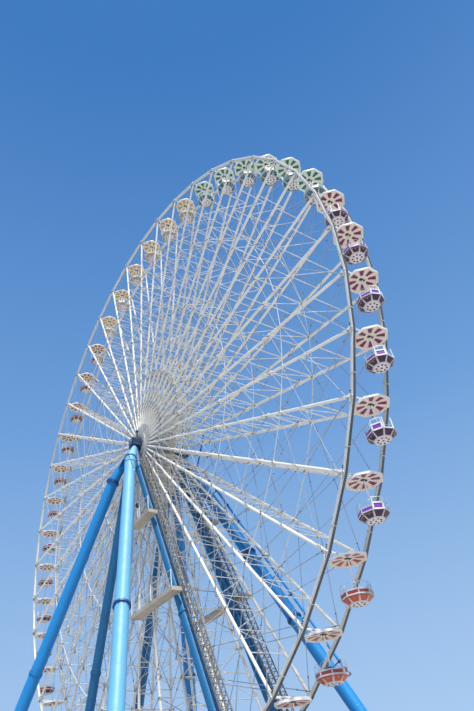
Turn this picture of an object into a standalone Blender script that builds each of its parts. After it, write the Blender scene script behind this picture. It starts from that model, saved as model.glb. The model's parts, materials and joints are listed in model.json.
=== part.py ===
"""Travelling giant wheel with 42 gondolas, as a half-size model.

Metres, +Z up. The axle lies along Y, and the front of the wheel looks towards -Y. The origin is on
the ground under the middle of the hub. Each size is written as the real one times SCALE.
"""

import math

import bmesh
import bpy
from mathutils import Matrix, Vector

SCALE = 0.5
SEAT_GAP = 0.0003

# Wheel
GONDOLAS = 42
HUB_HEIGHT = 28.9 * SCALE
WHEEL_RADIUS = 25.5 * SCALE
FIRST_ANGLE = math.radians(-29.21)
RIM_SPACING = 2.388 * SCALE
RIM_DEPTH = 0.20 * SCALE
RIM_WIDTH = 0.20 * SCALE
SPOKE_BAR = 0.18 * SCALE
RING_BAR = 0.12 * SCALE
RING_RADII = (12.95 * SCALE, 19.5 * SCALE)
FLANGE_RADIUS = 1.56 * SCALE

# Hub shaft, from the middle outwards
DRUM_RADIUS = 1.0 * SCALE
SEAT_RADIUS = 0.70 * SCALE
SEAT_CLEARANCE = 0.0018
SHOULDER_RADIUS = 0.66 * SCALE
JOURNAL_RADIUS = 0.24 * SCALE
JOURNAL_CLEARANCE = 0.0025
THRUST_GAP = 0.0005
SHAFT_SIDES = 24
CAP_OVERHANG = 0.10 * SCALE

# Gondola, with heights measured from its axle
CABIN_SIDES = 8
CANOPY_WIDTH = 1.82 * SCALE
CANOPY_TOP = 0.05 * SCALE
CANOPY_EDGE = -0.22 * SCALE
CANOPY_LIP = 0.07 * SCALE
CANOPY_RISE_UNDER = -0.17 * SCALE
POST_RADIUS = 0.055 * SCALE
TUB_WIDTH = 1.46 * SCALE
TUB_TOP = -1.83 * SCALE
TUB_WAIST = -2.06 * SCALE
TUB_BOTTOM = -2.36 * SCALE
TUB_FLOOR_RADIUS = 0.44 * SCALE
TUB_WALL = 0.05 * SCALE
AXLE_BAR = 0.12 * SCALE
AXLE_END_GAP = 0.0005
FIRST_GROUP_LEAD = 5

# Towers. Tops and feet of the legs are (x, y).
HEAD_WIDTH = 0.80 * SCALE
HEAD_DEPTH = 0.66 * SCALE
HEAD_HEIGHT = 0.72 * SCALE
HEAD_Y = 1.76 * SCALE
CROWN_TOP = 0.36 * SCALE
CROWN_HEIGHT = 1.27 * SCALE
CROWN_LIP = 0.03 * SCALE
LEG_SIDES = 8
MAIN_LEG_RADIUS = 0.34 * SCALE
OUTRIGGER_RADIUS = 0.43 * SCALE
COLLAR_STEP = 0.09 * SCALE
COLLAR_LENGTH = 0.22 * SCALE
COLLAR_PLACES = (0.46, 0.945)
MAIN_TOP = (0.54 * SCALE, 1.90 * SCALE)
MAIN_FOOT = (11.80 * SCALE, 1.966 * SCALE)
OUTRIGGER_TOP = (1.0 * SCALE, 2.60 * SCALE)
OUTRIGGER_FOOT = (12.18 * SCALE, 9.34 * SCALE)

# Ladders and landings
LADDER_RAIL = 0.08 * SCALE
LADDER_HALF_WIDTH = 0.37 * SCALE
LADDER_RUNG = 0.08 * SCALE
LADDER_RUNGS = 14
LADDER_THICKNESS = 0.10 * SCALE
LADDER_SPAN = (0.02, 0.96)
LANDING_HEIGHTS = (14.24 * SCALE, 20.6 * SCALE)
LANDING_DEPTH = 0.72 * SCALE
LANDING_THICKNESS = 0.24 * SCALE
LANDING_OVERHANG = 0.9 * SCALE
LANDING_INNER_X = 1.44 * SCALE

# Base frame
BASE_TOP = 0.72 * SCALE
BASE_BOTTOM = 0.12 * SCALE
CROSS_BEAM_X = 11.99 * SCALE
CROSS_BEAM = 1.5 * SCALE
MAIN_BEAM = 0.8 * SCALE
OUTER_BEAM = 1.0 * SCALE

HUB = Vector((0, 0, HUB_HEIGHT))
RIM_Y = RIM_SPACING / 2
SHARP_ANGLE = math.radians(50)
NEAR = 0.001


def clear_scene():
    for obj in list(bpy.data.objects):
        bpy.data.objects.remove(obj, do_unlink=True)


def material(name, colour, roughness=0.45, metallic=0.0):
    made = bpy.data.materials.new(name)
    made.use_nodes = True
    shader = made.node_tree.nodes["Principled BSDF"]
    shader.inputs["Base Color"].default_value = (*colour, 1)
    shader.inputs["Roughness"].default_value = roughness
    shader.inputs["Metallic"].default_value = metallic
    made.diffuse_color = (*colour, 1)
    return made


def object_from(bm, name, finish, smooth=False):
    """Closes a bmesh into a named object with its faces pointing out."""
    bmesh.ops.recalc_face_normals(bm, faces=bm.faces)
    mesh = bpy.data.meshes.new(name)
    bm.to_mesh(mesh)
    bm.free()
    mesh.materials.append(finish)
    if smooth:
        mesh.shade_smooth()
        mesh.set_sharp_from_angle(angle=SHARP_ANGLE)
    obj = bpy.data.objects.new(name, mesh)
    bpy.context.scene.collection.objects.link(obj)
    return obj


def boolean(target, tool, operation):
    """Joins the tool to the target, or cuts it away, and removes the tool."""
    change = target.modifiers.new(operation.lower(), "BOOLEAN")
    change.operation = operation
    change.object = tool
    bpy.context.view_layer.update()
    graph = bpy.context.evaluated_depsgraph_get()
    result = bpy.data.meshes.new_from_object(target.evaluated_get(graph))
    target.modifiers.clear()
    target.data = result
    bpy.data.objects.remove(tool, do_unlink=True)


def box(bm, low, high):
    size = Vector(high) - Vector(low)
    middle = (Vector(high) + Vector(low)) / 2
    bmesh.ops.create_cube(bm, size=1, matrix=Matrix.Translation(middle) @ Matrix.Diagonal((*size, 1)))


def lathe(bm, profile, sides, turn=Matrix.Identity(4)):
    """Turns (radius, height) points about Z. A radius of 0 is one point on the axis."""
    rings = []
    for radius, height in profile:
        if radius == 0:
            rings.append([bm.verts.new(turn @ Vector((0, 0, height)))])
            continue
        angles = [(i + 0.5) * math.tau / sides for i in range(sides)]
        ring = [(radius * math.cos(a), radius * math.sin(a), height) for a in angles]
        rings.append([bm.verts.new(turn @ Vector(point)) for point in ring])
    for first, second in zip(rings, rings[1:]):
        for i in range(sides):
            j = (i + 1) % sides
            corners = [first[i % len(first)], first[j % len(first)]]
            corners += [second[j % len(second)], second[i % len(second)]]
            bm.faces.new(list(dict.fromkeys(corners)))


def node_angle(k):
    """Angle of spoke k from the top, counter-clockwise seen from the front."""
    return FIRST_ANGLE + k * math.tau / GONDOLAS


def on_spoke(k, radius, across=0.0, y=0.0):
    """The point at this radius on spoke k, moved across the spoke and along the axle."""
    a = node_angle(k)
    radial = Vector((-math.sin(a), 0, math.cos(a)))
    tangent = Vector((-math.cos(a), 0, -math.sin(a)))
    return HUB + radial * radius + tangent * across + Vector((0, y, 0))


# Wheel lattices

def spoke_web(side, finish):
    """Hub flange, spoke chords and two ring members in one plane, with a strut at each joint."""
    bm = bmesh.new()
    outer_y = side * (RIM_Y + SPOKE_BAR / 2)
    stations = [FLANGE_RADIUS]
    for radius in RING_RADII:
        stations += [radius - RING_BAR / 2, radius + RING_BAR / 2]
    stations.append(WHEEL_RADIUS)
    bore, right, left = [], [], []
    for k in range(GONDOLAS):
        bore.append(bm.verts.new(on_spoke(k, SEAT_RADIUS, 0, outer_y)))
        right.append([bm.verts.new(on_spoke(k, r, -SPOKE_BAR / 2, outer_y)) for r in stations])
        left.append([bm.verts.new(on_spoke(k, r, SPOKE_BAR / 2, outer_y)) for r in stations])
    for k in range(GONDOLAS):
        n = (k + 1) % GONDOLAS
        bm.faces.new((bore[k], right[k][0], left[k][0]))
        bm.faces.new((bore[k], left[k][0], right[n][0], bore[n]))
        for i in range(len(stations) - 1):
            bm.faces.new((right[k][i], right[k][i + 1], left[k][i + 1], left[k][i]))
        for i in range(1, len(stations) - 1, 2):
            bm.faces.new((left[k][i], left[k][i + 1], right[n][i + 1], right[n][i]))
    thick = bmesh.ops.extrude_face_region(bm, geom=bm.faces[:])["geom"]
    new_verts = [v for v in thick if isinstance(v, bmesh.types.BMVert)]
    bmesh.ops.translate(bm, verts=new_verts, vec=(0, -side * SPOKE_BAR, 0))
    inner_faces = [f for f in thick if isinstance(f, bmesh.types.BMFace)]
    joints = [f for f in inner_faces if at_ring_joint(f.calc_center_median())]
    struts = bmesh.ops.extrude_discrete_faces(bm, faces=joints)["faces"]
    strut_length = RIM_Y - SPOKE_BAR / 2 - SEAT_GAP / 2
    for face in struts:
        bmesh.ops.translate(bm, verts=face.verts, vec=(0, -side * strut_length, 0))
    return object_from(bm, "web", finish)


def at_ring_joint(point):
    radius = math.hypot(point.x, point.z - HUB_HEIGHT)
    return any(abs(radius - ring) < NEAR for ring in RING_RADII)


def rim(side, finish):
    """Straight box girders from node to node."""
    bm = bmesh.new()
    corners = ((-1, -1), (-1, 1), (1, 1), (1, -1))
    section = [(WHEEL_RADIUS + u * RIM_DEPTH / 2, side * RIM_Y + v * RIM_WIDTH / 2) for u, v in corners]
    rings = [[bm.verts.new(on_spoke(k, r, 0, y)) for r, y in section] for k in range(GONDOLAS)]
    for k in range(GONDOLAS):
        here, there = rings[k], rings[(k + 1) % GONDOLAS]
        for i in range(4):
            j = (i + 1) % 4
            bm.faces.new((here[i], here[j], there[j], there[i]))
    return object_from(bm, "rim", finish)


def wheel_lattice(name, side, finish):
    lattice = rim(side, finish)
    lattice.name = name
    boolean(lattice, spoke_web(side, finish), "UNION")
    return lattice


def hub_shaft(finish):
    """Drum between the lattices, seats in their flanges, shoulders and journals."""
    head_face = HEAD_Y - HEAD_DEPTH / 2
    flange_in = RIM_Y - SPOKE_BAR / 2 - SEAT_GAP
    flange_out = RIM_Y + SPOKE_BAR / 2
    end = HEAD_Y + HEAD_DEPTH / 2 + CAP_OVERHANG
    half = [
        (DRUM_RADIUS, flange_in),
        (SEAT_RADIUS - SEAT_CLEARANCE, flange_in),
        (SEAT_RADIUS - SEAT_CLEARANCE, flange_out),
        (SHOULDER_RADIUS, flange_out),
        (SHOULDER_RADIUS, head_face - THRUST_GAP),
        (JOURNAL_RADIUS, head_face - THRUST_GAP),
        (JOURNAL_RADIUS, end),
        (0, end),
    ]
    profile = [(radius, -y) for radius, y in reversed(half)] + half
    bm = bmesh.new()
    turn = Matrix.Translation(HUB) @ Matrix.Rotation(-math.pi / 2, 4, "X")
    lathe(bm, profile, SHAFT_SIDES, turn)
    return object_from(bm, "hub_shaft", finish, smooth=True)


# Gondolas

def flat_radius(width, sides=CABIN_SIDES):
    """Corner radius of a regular prism with this width across its flats."""
    return width / 2 / math.cos(math.pi / sides)


def gondola_mesh(finish):
    """Canopy, centre post and open tub turned as one eight-sided shape, with the axle through it."""
    canopy = flat_radius(CANOPY_WIDTH)
    tub = flat_radius(TUB_WIDTH)
    wall = flat_radius(2 * TUB_WALL)
    floor = TUB_BOTTOM + TUB_WALL
    profile = [
        (0, CANOPY_TOP),
        (canopy, CANOPY_EDGE),
        (canopy, CANOPY_EDGE - CANOPY_LIP),
        (POST_RADIUS, CANOPY_RISE_UNDER),
        (POST_RADIUS, floor),
        (TUB_FLOOR_RADIUS - wall, floor),
        (tub - wall, TUB_WAIST),
        (tub - wall, TUB_TOP),
        (tub, TUB_TOP),
        (tub, TUB_WAIST),
        (TUB_FLOOR_RADIUS, TUB_BOTTOM),
        (0, TUB_BOTTOM),
    ]
    bm = bmesh.new()
    lathe(bm, profile, CABIN_SIDES)
    cabin = object_from(bm, "cabin", finish)
    bm = bmesh.new()
    reach = RIM_Y - RIM_WIDTH / 2 - AXLE_END_GAP
    box(bm, (-AXLE_BAR / 2, -reach, -AXLE_BAR / 2), (AXLE_BAR / 2, reach, AXLE_BAR / 2))
    boolean(cabin, object_from(bm, "axle", finish), "UNION")
    mesh = cabin.data
    bpy.data.objects.remove(cabin, do_unlink=True)
    return mesh


def gondolas(finishes):
    """Seven groups of six cabins, each group in its own colour."""
    group_size = GONDOLAS // len(finishes)
    meshes = [gondola_mesh(finish) for finish in finishes]
    for k in range(GONDOLAS):
        group = (k + FIRST_GROUP_LEAD) % GONDOLAS // group_size
        cabin = bpy.data.objects.new(f"gondola_{k + 1:02d}", meshes[group])
        cabin.location = on_spoke(k, WHEEL_RADIUS)
        bpy.context.scene.collection.objects.link(cabin)


# Towers

def bearing_head(name, side, finish):
    """Block with a bore for the journal."""
    half = Vector((HEAD_WIDTH, HEAD_DEPTH, HEAD_HEIGHT)) / 2
    bm = bmesh.new()
    middle = HUB + Vector((0, side * HEAD_Y, 0))
    box(bm, middle - half, middle + half)
    head = object_from(bm, name, finish)
    bm = bmesh.new()
    turn = Matrix.Translation(middle) @ Matrix.Rotation(math.pi / 2, 4, "X")
    bore = JOURNAL_RADIUS + JOURNAL_CLEARANCE
    lathe(bm, [(0, -HEAD_DEPTH), (bore, -HEAD_DEPTH), (bore, HEAD_DEPTH), (0, HEAD_DEPTH)], SHAFT_SIDES, turn)
    boolean(head, object_from(bm, "bore", finish), "DIFFERENCE")
    return head


def crown_levels():
    top = HUB_HEIGHT - HEAD_HEIGHT / 2 - SEAT_GAP
    return top, top - CROWN_HEIGHT


def crown(name, side, finish):
    """Cap wrapped tightly round the tops of the four legs, which narrows to the bearing head above."""
    top = crown_levels()[0]
    half = CROWN_TOP / 2
    bm = bmesh.new()
    for x in (-half, half):
        for y in (HEAD_Y - half, HEAD_Y + half):
            bm.verts.new((x, side * y, top))
    for hand in (-1, 1):
        legs = [(main_leg_ends(side, hand), MAIN_LEG_RADIUS), (outrigger_ends(side, hand), OUTRIGGER_RADIUS)]
        for ends, radius in legs:
            middle = ends[0] + Vector((0, 0, SEAT_GAP))
            for point in level_ring(middle, *leg_axes(*ends), radius + CROWN_LIP):
                bm.verts.new(point)
    hull = bmesh.ops.convex_hull(bm, input=bm.verts)
    loose = [v for v in hull["geom_interior"] if isinstance(v, bmesh.types.BMVert)]
    bmesh.ops.delete(bm, geom=loose, context="VERTS")
    return object_from(bm, name, finish)


def leg_axes(top, foot):
    """Unit vectors along the leg, across it in the wheel's plane, and across it towards the front."""
    along = (top - foot).normalized()
    across = along.cross(Vector((0, 1, 0))).normalized()
    return along, across, across.cross(along)


def level_ring(middle, along, across, forward, radius):
    """Ring of points round a leg's axis, slid along it until they are level."""
    points = []
    for i in range(LEG_SIDES):
        a = (i + 0.5) * math.tau / LEG_SIDES
        point = middle + (across * math.cos(a) + forward * math.sin(a)) * radius
        points.append(point - along * ((point.z - middle.z) / along.z))
    return points


def collar_stations(length, radius):
    """Distances from the foot and radii, with a step out and back at each bolted collar."""
    stations = [(0, radius)]
    for place in COLLAR_PLACES:
        low = place * length - COLLAR_LENGTH / 2
        high = place * length + COLLAR_LENGTH / 2
        proud = radius + COLLAR_STEP
        stations += [(low, radius), (low, proud), (high, proud), (high, radius)]
    return stations + [(length, radius)]


def leg(name, ends, radius, finish):
    """Round leg with bolted collars. Its ends are cut level."""
    top, foot = ends
    along, across, forward = leg_axes(top, foot)
    stations = collar_stations((top - foot).length, radius)
    bm = bmesh.new()
    rings = []
    for distance, size in stations:
        middle = foot + along * distance
        if distance in (0, stations[-1][0]):
            points = level_ring(middle, along, across, forward, size)
        else:
            angles = [(i + 0.5) * math.tau / LEG_SIDES for i in range(LEG_SIDES)]
            points = [middle + (across * math.cos(a) + forward * math.sin(a)) * size for a in angles]
        rings.append([bm.verts.new(point) for point in points])
    for first, second in zip(rings, rings[1:]):
        for i in range(LEG_SIDES):
            j = (i + 1) % LEG_SIDES
            bm.faces.new((first[i], first[j], second[j], second[i]))
    bm.faces.new(rings[0])
    bm.faces.new(rings[-1])
    return object_from(bm, name, finish, smooth=True)


def leg_ends(side, hand, top, foot):
    """Top and foot of a leg. side is -1 at the front, and hand is -1 on the left."""
    top_z = crown_levels()[1] - SEAT_GAP
    foot_z = BASE_TOP + SEAT_GAP
    return Vector((hand * top[0], side * top[1], top_z)), Vector((hand * foot[0], side * foot[1], foot_z))


def main_leg_ends(side, hand):
    return leg_ends(side, hand, MAIN_TOP, MAIN_FOOT)


def outrigger_ends(side, hand):
    return leg_ends(side, hand, OUTRIGGER_TOP, OUTRIGGER_FOOT)


def slab_from_grid(bm, us, vs, keep, place, thickness):
    """Extrudes the kept cells of a grid of lines into one slab. place turns (u, v) into a point."""
    corners = {}

    def corner(i, j):
        if (i, j) not in corners:
            corners[i, j] = bm.verts.new(place(us[i], vs[j]))
        return corners[i, j]

    for i in range(len(us) - 1):
        for j in range(len(vs) - 1):
            if keep(i, j):
                bm.faces.new((corner(i, j), corner(i + 1, j), corner(i + 1, j + 1), corner(i, j + 1)))
    raised = bmesh.ops.extrude_face_region(bm, geom=bm.faces[:])["geom"]
    new_verts = [v for v in raised if isinstance(v, bmesh.types.BMVert)]
    bmesh.ops.translate(bm, verts=new_verts, vec=thickness)


def leg_point_at(ends, z):
    top, foot = ends
    return foot.lerp(top, (z - foot.z) / (top.z - foot.z))


def service_ladder(name, side, finish):
    """Ladder up the right-hand main leg, with two landings that reach in towards the hub's middle."""
    top, foot = main_leg_ends(side, 1)
    along, across, forward = leg_axes(top, foot)
    flat = math.cos(math.pi / LEG_SIDES)
    length = (top - foot).length
    lift = (MAIN_LEG_RADIUS + COLLAR_STEP) * flat + SEAT_GAP
    start, end = (fraction * length for fraction in LADDER_SPAN)
    pitch = (end - start) / (LADDER_RUNGS + 1)
    us = [start]
    for i in range(LADDER_RUNGS):
        middle = start + (i + 1) * pitch
        us += [middle - LADDER_RUNG / 2, middle + LADDER_RUNG / 2]
    us.append(end)
    rail_in = LADDER_HALF_WIDTH - LADDER_RAIL / 2
    rail_out = LADDER_HALF_WIDTH + LADDER_RAIL / 2
    vs = [-rail_out, -rail_in, rail_in, rail_out]
    bm = bmesh.new()
    slab_from_grid(
        bm, us, vs,
        keep=lambda i, j: j != 1 or i % 2 == 1,
        place=lambda u, v: foot + along * u + forward * v - across * lift,
        thickness=-across * LADDER_THICKNESS,
    )
    ladder = object_from(bm, name, finish)
    for z in LANDING_HEIGHTS:
        right = leg_point_at((top, foot), z - LANDING_THICKNESS / 2)
        near = abs(right.y) + MAIN_LEG_RADIUS * flat + SEAT_GAP
        far = near + LANDING_DEPTH
        reach = right.x + LANDING_OVERHANG
        bm = bmesh.new()
        low = (LANDING_INNER_X, min(side * near, side * far), z - LANDING_THICKNESS / 2)
        high = (reach, max(side * near, side * far), z + LANDING_THICKNESS / 2)
        box(bm, low, high)
        boolean(ladder, object_from(bm, "landing", finish), "UNION")
    return ladder


def base_frame(finish):
    """Beams on the ground under the eight feet, standing on a pad under each foot."""
    beam = CROSS_BEAM / 2
    xs = [-CROSS_BEAM_X - beam, -CROSS_BEAM_X + beam, CROSS_BEAM_X - beam, CROSS_BEAM_X + beam]
    ys = []
    for foot_y, width in ((OUTRIGGER_FOOT[1], OUTER_BEAM), (MAIN_FOOT[1], MAIN_BEAM)):
        ys += [foot_y - width / 2, foot_y + width / 2, -foot_y - width / 2, -foot_y + width / 2]
    ys.sort()
    bm = bmesh.new()
    slab_from_grid(
        bm, xs, ys,
        keep=lambda i, j: i != 1 or j % 2 == 0,
        place=lambda x, y: Vector((x, y, BASE_BOTTOM)),
        thickness=Vector((0, 0, BASE_TOP - BASE_BOTTOM)),
    )
    pads = [f for f in bm.faces if is_pad(f.calc_center_median())]
    for face in bmesh.ops.extrude_discrete_faces(bm, faces=pads)["faces"]:
        bmesh.ops.translate(bm, verts=face.verts, vec=(0, 0, -BASE_BOTTOM))
    return object_from(bm, "base_frame", finish)


def is_pad(point):
    """Whether a face middle lies on the underside below one of the feet."""
    under = abs(point.z - BASE_BOTTOM) < NEAR and abs(abs(point.x) - CROSS_BEAM_X) < NEAR
    return under and min(abs(abs(point.y) - MAIN_FOOT[1]), abs(abs(point.y) - OUTRIGGER_FOOT[1])) < NEAR


def tower(label, side, blue, light_blue, navy, grey):
    bearing_head(f"{label}_bearing_head", side, navy)
    crown(f"{label}_crown", side, light_blue)
    for word, hand in (("left", -1), ("right", 1)):
        leg(f"{label}_{word}_main_leg", main_leg_ends(side, hand), MAIN_LEG_RADIUS, blue)
        leg(f"{label}_{word}_outrigger", outrigger_ends(side, hand), OUTRIGGER_RADIUS, blue)
    service_ladder(f"{label}_service_ladder", side, grey)


def main():
    clear_scene()
    white = material("lattice_white", (0.80, 0.78, 0.72), 0.4)
    steel = material("shaft_steel", (0.45, 0.46, 0.48), 0.35, 1.0)
    blue = material("tower_blue", (0.02, 0.30, 0.72), 0.35)
    light_blue = material("crown_blue", (0.30, 0.62, 0.90), 0.35)
    navy = material("bearing_navy", (0.02, 0.06, 0.14), 0.4)
    grey = material("ladder_grey", (0.55, 0.54, 0.48), 0.5)
    base = material("base_grey", (0.30, 0.32, 0.34), 0.6)
    cabins = [
        material("gondola_teal", (0.05, 0.42, 0.36)),
        material("gondola_cream", (0.80, 0.66, 0.36)),
        material("gondola_brown", (0.58, 0.26, 0.12)),
        material("gondola_red", (0.50, 0.08, 0.08)),
        material("gondola_blue", (0.06, 0.20, 0.50)),
        material("gondola_orange", (0.75, 0.22, 0.12)),
        material("gondola_purple", (0.42, 0.12, 0.42)),
    ]
    wheel_lattice("front_wheel_lattice", -1, white)
    wheel_lattice("rear_wheel_lattice", 1, white)
    hub_shaft(steel)
    gondolas(cabins)
    for label, side in (("front", -1), ("rear", 1)):
        tower(label, side, blue, light_blue, navy, grey)
    base_frame(base)


main()
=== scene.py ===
import json
from math import atan2, copysign, cos, pi, radians, sin, tau

import bmesh
import bpy
from mathutils import Matrix, Vector


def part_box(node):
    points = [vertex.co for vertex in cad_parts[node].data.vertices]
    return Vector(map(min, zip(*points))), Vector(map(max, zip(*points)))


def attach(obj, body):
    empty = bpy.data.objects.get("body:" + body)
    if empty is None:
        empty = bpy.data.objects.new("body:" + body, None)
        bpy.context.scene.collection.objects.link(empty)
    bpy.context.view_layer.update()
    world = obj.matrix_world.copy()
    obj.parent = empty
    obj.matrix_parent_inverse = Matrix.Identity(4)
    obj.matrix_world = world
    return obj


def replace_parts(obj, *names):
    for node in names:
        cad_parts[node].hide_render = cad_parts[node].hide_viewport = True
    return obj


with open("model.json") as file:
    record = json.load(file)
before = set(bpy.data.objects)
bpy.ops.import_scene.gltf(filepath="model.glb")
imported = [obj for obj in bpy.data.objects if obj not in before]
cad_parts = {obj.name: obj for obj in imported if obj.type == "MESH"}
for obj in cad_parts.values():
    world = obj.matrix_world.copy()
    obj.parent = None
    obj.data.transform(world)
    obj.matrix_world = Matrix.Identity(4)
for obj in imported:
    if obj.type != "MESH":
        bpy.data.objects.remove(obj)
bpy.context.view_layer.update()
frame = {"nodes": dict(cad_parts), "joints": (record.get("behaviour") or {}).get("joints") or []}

# Travelling giant wheel, as a half-size model. Metres, +Z up. The axle lies along Y, and the front of the
# wheel looks towards -Y.

X, Y, Z = Vector((1, 0, 0)), Vector((0, 1, 0)), Vector((0, 0, 1))
JOINTS = {joint["name"]: Vector(joint["pos_m"]) for joint in frame["joints"]}
HUB = JOINTS["wheel_spin"]
NODES = [JOINTS[name] for name in sorted(JOINTS) if name.startswith("cabin")]
CABINS = len(NODES)
STEP = tau / CABINS
RADIUS = (NODES[0] - HUB).length
FIRST_ANGLE = atan2(HUB.x - NODES[0].x, NODES[0].z - HUB.z)
SHARP = radians(62)
SIDES = {"front": -1, "rear": 1}
HANDS = (-1, 1)

# Wheel
RIM_HALF, RIM_CHAMFER = 0.05, 0.008
RIM_Y = -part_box("front_wheel_lattice")[0].y - RIM_HALF
CHORD = 0.045
FLANGE, FLANGE_HALF = 0.78, 0.045
BORE, DRUM, COVER = 0.352, 0.50, 0.335
BANDS = ((12.64, 9.75), (9.18, 6.71), (6.25, 3.83), (3.32, 1.62))
HOOPS = (9.75, 6.6, 3.83)
JOINTS_ON_SPOKE = (5.05, 8.9)
CLAMP_REACH = 0.085
ROD, CABLE, PIN, SADDLE = 0.012, 0.010, 0.012, 0.024
TURNBUCKLE, TURNBUCKLE_SHARE, FORK_GAP = 0.36, 0.14, 0.06
STAY_OFFSET, STAY_START, STAY_END = 0.066, 0.075, 0.06
WEB = 0.015
WEB_STATIONS = (1.15, 1.62, 2.4, 3.32, 3.83, 4.65, 5.45, 6.25, 6.71, 7.55, 8.35, 9.18, 9.75, 10.55, 11.35)

# Cabins, with heights measured from their axle
OCTANT = tau / 8
FLAT = (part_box("gondola_01")[1].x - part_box("gondola_01")[0].x) / 2
CORNER = FLAT / cos(OCTANT / 2)
FLOOR_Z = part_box("gondola_01")[0].z - NODES[0].z
CANOPY_TOP, CANOPY_EDGE, CANOPY_LIP = 0.022, -0.108, 0.036
UNDER_MIDDLE, UNDER_EDGE = -0.088, -0.138
SKIN_INSET, DISH = 0.008, 0.008
WEDGE = radians(11.2)
STRIPE_IN, STRIPE_OUT = radians(14.2), radians(17.6)
WEDGE_START, WEDGE_END = 0.38, 0.87
STRIPE_START, STRIPE_END = 0.34, 0.95
BOSS_SHARE, POST_SHARE = 0.16, 0.07
BULB_PLACES = (0.1, 0.26, 0.42, 0.58, 0.74, 0.9)
TUB_CORNER, FLOOR_CORNER = 0.388, 0.218
RAIL_Z, WAIST_Z, SEAT_Z = -0.915, -1.03, -1.075
GATE_HEAD, GATE_TOP, HOOP_TOP = -0.862, -0.72, -0.745
GATE, DOORWAY, PANELLED = 0, 1, range(2, 8)
VENT_CIRCLE, VENT = 0.135, 0.029
HAND_WHEEL_Z, HAND_WHEEL = -0.83, 0.075
GRAB_RAIL = ((0.10, 0.0), (0.09, 0.55), (0.13, 0.82), (0.24, 0.97), (0.40, 1.0), (0.60, 1.0), (0.76, 0.97),
             (0.87, 0.82), (0.91, 0.55), (0.90, 0.0))

# Which way the gate of a cabin faces, in degrees from +X. The others stopped where they happened to.
GATE_FACES = {32: -25.9, 33: -59.2, 34: -38.3, 35: -20.5}
GATE_DRIFT = 137.5

# Towers. The foot and the top of a kind of leg are (x, y).
HEAD_Y, HEAD_WIDTH, HEAD_DEPTH, HEAD_HEIGHT = 0.88, 0.40, 0.33, 0.36
JOURNAL = 0.125
CROWN_TOP_Z = HUB.z - HEAD_HEIGHT / 2 - 0.004
CROWN_HALF = 0.12
MAIN_TAPER_Z, TIP = 13.22, 0.085
TAPERS = {"left": 12.96, "right": 13.22}
MAIN_LEG, OUTRIGGER = 0.17, 0.215
MAIN_ENDS, OUTRIGGER_ENDS = ((5.90, 0.983), (0.27, 0.95)), ((6.09, 4.67), (0.50, 1.30))
LEG_TOP_Z, FOOT_Z = 13.6344, 0.3603
LEG_SIDES, LEG_SEAMS = 32, 12
SEAM = ((-0.04, 0), (-0.008, 0), (0, 0.003), (0.008, 0), (0.04, 0))
COLLAR_PLACES, COLLAR_PROUD, DARK_COLLAR_PROUD = (0.46, 0.945), 0.026, 0.048
DARK_COLLARS = {"front_left_outrigger": (0.945,), "front_right_outrigger": (0.46,),
                "rear_right_outrigger": (0.46, 0.655), "rear_left_outrigger": (0.46, 0.655)}
LANDINGS, LANDING_X, LANDING_OVERHANG = (7.12, 10.3), 0.72, 0.45
LANDING_DEPTH, LANDING_THICKNESS = 0.36, 0.12
LADDER_SPAN, RUNGS, CAGE_BAYS, CAGE_START = (0.02, 0.96), 84, 56, 0.5
LADDER_HALF, CAGE_HALF, CAGE_DEPTH, LADDER_GAP = 0.10, 0.09, 0.22, 0.15
BEAM_X, MAIN_BEAM, OUTER_BEAM = 5.995, 0.40, 0.50
STIFFENER_SPAN, STIFFENERS = 5.5, 12

# Names of the finishes that many pieces share
CREAM, WHITE, NAVY = "cream paint", "white paint", "navy paint"
DEEP_BLUE_AND_SHADE, AZURE, SHADED_AZURE = "deep blue paint and painted shade", "azure paint", "azure paint with painted shade"
HUB_PAINT, RUNG, DECK, BASE, TUB = "hub paint", "ladder paint", "landing paint", "base paint", "tub shell"
ZINC, GREY, DARK, LAMP = "zinc", "grey steel", "dark steel", "lamp"
RUST, GRIME = (16, 7, 3.5), (10, 9, 7.5)

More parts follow.
